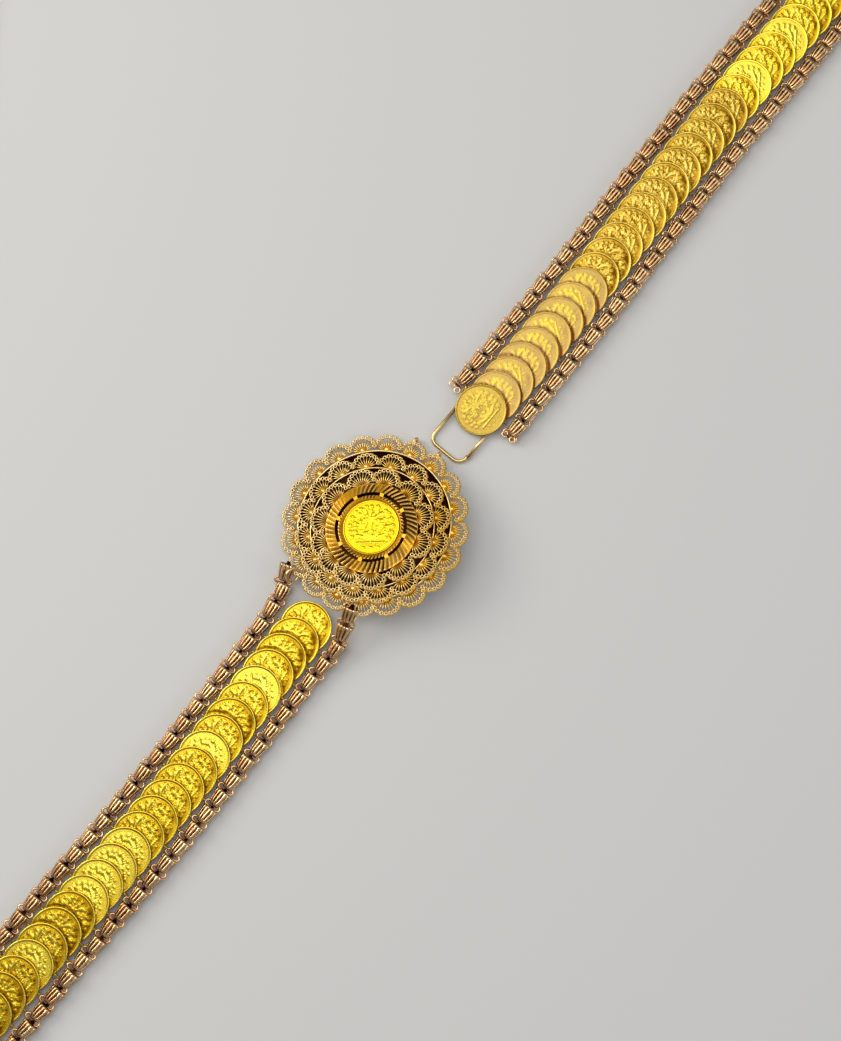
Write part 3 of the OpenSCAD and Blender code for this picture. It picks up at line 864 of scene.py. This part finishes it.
pale_gold = Gold("pale_gold").finish(
    shade_soil_colour=(0.22, 0.08, 0.008), plain=(0.49, 0.32, 0.063), worn_highlight_colour=(0.71, 0.52, 0.063), roughness=0.3,
    grain_mm=0.45, grain_depth=0.25, cloud=0.3, fleck=0.2
)
wire_gold = Gold("wire_gold").finish(
    shade_soil_colour=(0.2, 0.09, 0.02), plain=(0.50, 0.33, 0.12), worn_highlight_colour=(0.78, 0.56, 0.24), roughness=0.3,
    grain_mm=0.5, grain_depth=0.1
)
clasp_piece.data.materials.append(pale_gold)
clasp_piece.data.materials.append(wire_gold)
for polygon in clasp_piece.data.polygons:
    polygon.material_index = int(polygon.index < loop_faces)
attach(clasp_piece, "root")
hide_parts("clasp_end")

# Buckle: three tiers of fan shells in filigree, each a ring of sheet with its shells soldered round it.
# A shell is a fan of fine wires that run out of a solid foot to a row of eyelets, under one plain arched lip.
BUCKLE_RADIUS = 36.9
BUCKLE_LEAN = math.radians(-12.0)
BUCKLE_HEIGHT = BUCKLE_RADIUS * math.sin(-BUCKLE_LEAN)
ON_BUCKLE = (
    Matrix.Translation((BELT + Vector((0, 0, BUCKLE_HEIGHT))) * MM) @ Matrix.Rotation(BUCKLE_LEAN, 4, "X")
)
OFF_CENTRE = Vector((-2.2, -1.3, 0.0))
SHELL_SPREAD = 1.12                 # how much wider a shell is than it is deep
SHELL_END = 0.1                     # how far the lip stops short of the foot's line, in radians
SHELL_LEAN = 0.07
SHELL_WOBBLE = (0.03, 0.02, 0.03)
LIP = 0.45
LIP_RISE = 0.42
LIP_THICK = 0.15
LIP_UNDER = 0.1
# the lip's tones round its section, from its outer foot: painted shade at its foot and full painted shade
# underneath
LIP_TONES = (0.35, 0.6, 0.75, 0.0)
LIP_STEPS = 4                       # to each eyelet
NOTCH = 0.38                        # how far the lip draws in between two eyelets
EYELET = 0.62
EYELET_STEPS = 9
EYELET_SPACING = 1.7
EYELET_WIRE = 0.26
EYELET_HEIGHT = 0.72
FINE_SIDES = 4
BRIGHT_TONE = 0.9
RIB_WIRE = 0.29
# a rib's two inner points: shares of its eyelet's place across and out, some more outwards, height
RIB = ((0.30, 0.12, -0.25, 0.75), (0.64, 0.56, -0.1, 0.95))
RIB_END_HEIGHT = 0.7
RIB_TONES = (0.55, 0.75, 0.95)
# the foot of a shell: half its width, its reach, how far it stands in, its height, its peak
FOOT = (2.1, 3.3, 0.3, 0.55, (0.0, -0.6, 1.45))
FOOT_STEPS = 10
FOOT_TONE = 0.68
TURN_STEPS = 96
WALL_STEPS = 72
SHEET = 0.4
WALL_THICK = 0.8
WALL_TOP = 0.1
BASE_WIRE_HEIGHT = 0.7
BASE_WIRE_SIDES = 6
# the side towards the picture's right gets painted shade, more of it further right
PICTURE_RIGHT = Vector((math.cos(math.radians(PICTURE_TURN)), math.sin(math.radians(PICTURE_TURN)), 0.0))
RIGHT_SHADE = 0.2
RIGHT_START = 0.2
TIERS = (
    # node, shells' places as degrees round the picture, reach, foot's radius, a shell's radius, level, base
    # wire's radius, sheet's radii, radius and foot of the wall that carries it, shift
    ("outer_tier", [9.4 + 18 * k for k in range(20)], 37.6, 30.4, 5.5, 0.0, 0.42,
     (16.4, 30.2), None, Vector()),
    ("middle_tier", [6.35 + 22.5 * k for k in range(16)], 31.2, 24.5, 5.5, 1.5, 0.34,
     (14.6, 24.4), (19.5, 0.8), Vector((-1.6, -0.7, 0.0))),
    ("inner_tier", [12, 43, 75, 103, 137, 168, 197, 218, 243, 270, 305, 340], 25.2, 17.6, 5.7, 3.0, None,
     (14.6, 18.4), (17.0, 2.3), OFF_CENTRE),
)


def fan_shell(radius, middle, footed):
    """One shell in filigree: it reaches out from its foot along -Y, to an arc that is centred at middle."""
    shell = Work()

    def spot(reach, angle, height):
        return (SHELL_SPREAD * reach * math.cos(angle), -(middle + reach * math.sin(angle)), height)

    low = math.asin(middle / radius)
    arc = math.pi + 2 * low - 2 * SHELL_END
    eyelet_row = radius - LIP - EYELET
    eyelets = round(SHELL_SPREAD * eyelet_row * arc / EYELET_SPACING)
    lip = []
    for k in range(LIP_STEPS * eyelets + 1):
        angle = arc * k / (LIP_STEPS * eyelets) - low + SHELL_END
        edge = radius - NOTCH * (1 - abs(math.sin(math.pi * k / LIP_STEPS)))
        lip.append([
            spot(edge, angle, 0.0), spot(edge, angle, LIP_THICK),
            spot(edge - LIP, angle, LIP_RISE + LIP_THICK), spot(edge - LIP, angle, LIP_RISE - LIP_UNDER),
        ])
    shell.loft(lip, [LIP_TONES] * len(lip))
    rib_tones = [tone for tone in RIB_TONES for k in range(FINE_SIDES)]
    for k in range(eyelets):
        angle = arc * (k + 0.5) / eyelets - low + SHELL_END
        x, y, height = spot(eyelet_row, angle, EYELET_HEIGHT)
        eyelet = circle(EYELET, EYELET_STEPS, x, y, height)
        shell.wire(eyelet, EYELET_WIRE, FINE_SIDES, closed=True, tone=BRIGHT_TONE)
        # each rib runs from the foot to its own eyelet, and the shell is a little domed between them
        far = spot(eyelet_row - EYELET, angle, RIB_END_HEIGHT)
        rib = [(across * far[0], out * far[1] + more, height) for across, out, more, height in RIB]
        shell.wire([*rib, far], RIB_WIRE, FINE_SIDES, tone=rib_tones)
    if footed:
        half, reach, inward, height, peak = FOOT
        turns = [math.pi * k / FOOT_STEPS for k in reversed(range(FOOT_STEPS + 1))]
        outline = [(half * math.cos(turn), inward - reach * math.sin(turn), height) for turn in turns]
        count = len(outline)
        sides = [(k, (k + 1) % count, count) for k in range(count)]
        shell.add([*outline, peak], [tuple(reversed(range(count)))] + sides, FOOT_TONE)
    return shell


filigree_gold = Gold("filigree_gold").finish(
    shade_soil_colour=(0.045, 0.007, 0.001), plain=(0.88, 0.51, 0.05), worn_highlight_colour=(1.0, 0.77, 0.37), roughness=0.25,
    grain_mm=0.4, grain_depth=0.15, cloud=0.4, metal=0.85
)
for tier_name, places, reach, foot, shell_radius, level, base_wire, plate, wall, shift in TIERS:
    shell = fan_shell(shell_radius, reach - shell_radius - foot, bool(base_wire))
    turns = [math.radians(a + PICTURE_TURN) for a in places]
    path = [Vector((foot * math.cos(turn), foot * math.sin(turn), level)) + shift for turn in turns]
    tier = row(
        vertex_rows, tier_name + "_filigree", path, closed=True,
        Unit=shell.unit(tier_name + "_shell"), Finish=filigree_gold, Lean=SHELL_LEAN, Wobble=SHELL_WOBBLE,
        Seed=len(places),
    )
    base = Work()
    if base_wire:
        loop = circle(foot, TURN_STEPS, height=BASE_WIRE_HEIGHT)
        base.wire(loop, base_wire, BASE_WIRE_SIDES, closed=True, tone=BRIGHT_TONE)
    # the sheet here and the wall below keep tone 0: painted shade, as they lie in shadow under the shells
    base.turn([(plate[0], 0.0), (plate[1], 0.0), (plate[1], SHEET), (plate[0], SHEET)], TURN_STEPS)
    if wall:
        outside, drop = wall
        inside, bottom = outside - WALL_THICK, drop - level
        base.turn([(inside, bottom), (outside, bottom), (outside, WALL_TOP), (inside, WALL_TOP)], WALL_STEPS)
    base.points = [p + shift + Vector((0, 0, level)) for p in base.points]
    base_piece = base.piece(tier_name + "_ring")
    base_piece.data.materials.append(filigree_gold)
    join([tier, base_piece])
    # painted shade, growing towards the picture's right
    for point, shade_and_soil in zip(tier.data.vertices, tier.data.attributes["shade_and_soil"].data):
        shade_and_soil.value += RIGHT_SHADE * max(0.0, point.co.dot(PICTURE_RIGHT) / (BUCKLE_RADIUS * MM) + RIGHT_START)
    tier.data.transform(ON_BUCKLE)
    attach(tier, "root")
    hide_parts(tier_name)

# Fluted ring: a cone of sheet cut all round with slanting flutes, and a dished collar that holds the coin.
# Eight long slots part the two, with a small tab left between one slot and the next.
FLUTES = 56
FLUTE_STEPS = 14
FLUTE_SIDES = (0.7, 0.3)            # the long and the short side of a flute, as shares of its width
FLUTE_SHADE = (2.1, 1.3)             # how soon a flute darkens towards its bottom, as painted shade
FLUTE_DEPTH = 0.55
FLUTE_SLANT = 0.028                 # turn of a flute per millimetre outwards, in radians
COLLAR_DEPTH = 0.2
COLLAR_SLANT = 0.05
# painted shade on the ring's lower and inner faces, where no flutes are cut
HIDDEN_TONE = 0.3
RING_FOOT = 3.8
RING_EDGE = 18.3
CREST = 5.7
SLOPE_FOOT = RING_FOOT + 0.65
SLOPE_INSET = 0.2
SLOPE_STEP = 0.55
SLOPE_STEPS = 7
SLOT = (12.95, 14.25)
SLOTS = 8
TAB_HALF = math.radians(3.2)
TAB_PLACE = 27.5
TAB_LAP = 0.15
TAB_HEIGHTS = (4.9, 5.4)
TAB_TONE = 0.5
# the band is fluted above this height at its edge, which rises by a share of the way inwards
BAND_FLUTED = (RING_FOOT + 0.6, 0.2)
EDGE_DEPTH = 0.3
# the collar is fluted outside this radius and above this height
COLLAR_FLUTED = (11.7, 4.6)
# profiles of the two, as radius and height
slope = [
    (RING_EDGE - SLOPE_INSET - SLOPE_STEP * k, SLOPE_FOOT + (CREST - SLOPE_FOOT) * k / SLOPE_STEPS)
    for k in range(SLOPE_STEPS + 1)
]
BAND_PROFILE = [
    (SLOT[1], CREST - 0.7), (15.05, SLOPE_FOOT), (17.6, RING_FOOT), (RING_EDGE, RING_FOOT),
    (RING_EDGE, RING_FOOT + 0.5), *slope, (SLOT[1], CREST - 0.1),
]
COLLAR_PROFILE = [
    (10.15, 3.2), (11.15, 0.1), (12.4, 0.1), (12.4, 4.3), (SLOT[0], 4.6), (SLOT[0], 5.5), (12.6, 5.62),
    (12.1, 5.35), (11.6, 5.05), (11.2, 4.8), (11.15, 3.8), (10.15, 3.8),
]
# stretches of shallower flutes with painted light and shade: degrees round the picture, half of their spread,
# share smoothed, tone
STRETCHES = (
    (78, 6, 0.8, 0.5), (127, 24, 0.95, 0.5), (170, 16, 0.4, 0.62), (200, 14, 0.6, 0.55), (252, 12, 0.5, 0.42),
    (305, 13, 0.4, 0.95), (332, 12, 0.9, 0.5),
)


def flute(angle, radius, depth, slant):
    """How far a flute cuts down from the surface, and its tone: painted shade in its bottom, bright on its
    edges.
    """
    wave = (angle + slant * (radius - SLOT[1])) * FLUTES / math.tau % 1.0
    cut = wave / FLUTE_SIDES[0] if wave < FLUTE_SIDES[0] else (1 - wave) / FLUTE_SIDES[1]
    tone = 1 - min(1.0, FLUTE_SHADE[0] * cut ** FLUTE_SHADE[1])
    picture = (math.degrees(angle) - PICTURE_TURN) % 360
    # painted light and shade in stretches round the ring
    for middle, half, share, painted_tone in STRETCHES:
        smooth = share * math.exp(-(((picture - middle) / half) ** 2))
        depth *= 1 - smooth
        tone += smooth * (painted_tone - tone)
    return -depth * cut, tone


def band_cut(angle, radius, height):
    if height < BAND_FLUTED[0] + (RING_EDGE - radius) * BAND_FLUTED[1]:
        return 0.0, HIDDEN_TONE
    # the flutes run out at the edge
    return flute(angle, radius, FLUTE_DEPTH * min(1.0, EDGE_DEPTH + RING_EDGE - radius), FLUTE_SLANT)


def collar_cut(angle, radius, height):
    if radius < COLLAR_FLUTED[0] or height < COLLAR_FLUTED[1]:
        return 0.0, HIDDEN_TONE
    return flute(angle, radius, COLLAR_DEPTH, COLLAR_SLANT)


ring = Work()
ring.turn(BAND_PROFILE, FLUTES * FLUTE_STEPS, lift=band_cut)
ring.turn(COLLAR_PROFILE, FLUTES * FLUTE_STEPS, lift=collar_cut)
for slot in range(SLOTS):
    centre = math.radians(TAB_PLACE + 360 / SLOTS * slot + PICTURE_TURN)
    outline = []
    for radius, ends in ((SLOT[0] - TAB_LAP, (1, -1)), (SLOT[1] + TAB_LAP, (-1, 1))):
        turns = [centre + end * TAB_HALF for end in ends]
        outline += [(radius * math.cos(turn), radius * math.sin(turn)) for turn in turns]
    ring.plate(outline, *TAB_HEIGHTS, TAB_TONE)
ring.points = [p + OFF_CENTRE for p in ring.points]
ring_piece = ring.piece("fluted_ring_cut", ON_BUCKLE, smooth=False)
amber_gold = Gold("amber_gold").finish(
    shade_soil_colour=(0.03, 0.003, 0.0005), plain=(0.95, 0.44, 0.015), worn_highlight_colour=(1.0, 0.78, 0.30), roughness=0.22,
    grain_mm=0.5, grain_depth=0.1, metal=0.8
)
ring_piece.data.materials.append(amber_gold)
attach(ring_piece, "root")
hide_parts("fluted_ring")

# Centre coin: a larger coin of the same kind, struck in the brightest gold of the belt.
# It stands upright in the picture and is held in the collar of the fluted ring.
CENTRE_RADIUS = 11.05
CENTRE_THICK = 1.3
CENTRE_RIM = 0.5
CENTRE_RINGS = 42
CENTRE_HEIGHT = 3.9

centre_coin = Work()
strike(centre_coin, CENTRE_RADIUS, CENTRE_THICK, CENTRE_RIM, CENTRE_RINGS, "centre")
upright = Matrix.Rotation(math.radians(PICTURE_TURN), 4, "Z")
upright = Matrix.Translation(OFF_CENTRE + Vector((0, 0, CENTRE_HEIGHT))) @ upright
centre_coin.points = [upright @ p for p in centre_coin.points]
centre_piece = centre_coin.piece("centre_coin_struck", ON_BUCKLE)
bright_gold = Gold("bright_gold").finish(
    shade_soil_colour=(0.32, 0.13, 0.001), plain=(0.72, 0.46, 0.008), worn_highlight_colour=(0.88, 0.67, 0.03), roughness=0.24,
    grain_mm=0.45, grain_depth=0.1, cloud=0.15, fleck=0.15
)
centre_piece.data.materials.append(bright_gold)
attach(centre_piece, "root")
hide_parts("centre_coin")

# Back plate and catch: plain sheet and bent wire soldered behind the buckle, seen only past its rim.
# They keep the shape that they have in the frame. The plate's near-black gold is painted shade, as in shadow
# behind the buckle.
shadow_gold = Gold("shadow_gold").finish(
    shade_soil_colour=(0.04, 0.015, 0.004), plain=(0.08, 0.03, 0.006), worn_highlight_colour=(0.12, 0.045, 0.01), roughness=0.45,
    grain_mm=0.5, grain_depth=0.1
)
for node_name, gold in (("back_plate", shadow_gold), ("catch", rose_gold)):
    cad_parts[node_name].data.materials.clear()
    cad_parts[node_name].data.materials.append(gold)

bpy.context.view_layer.update()
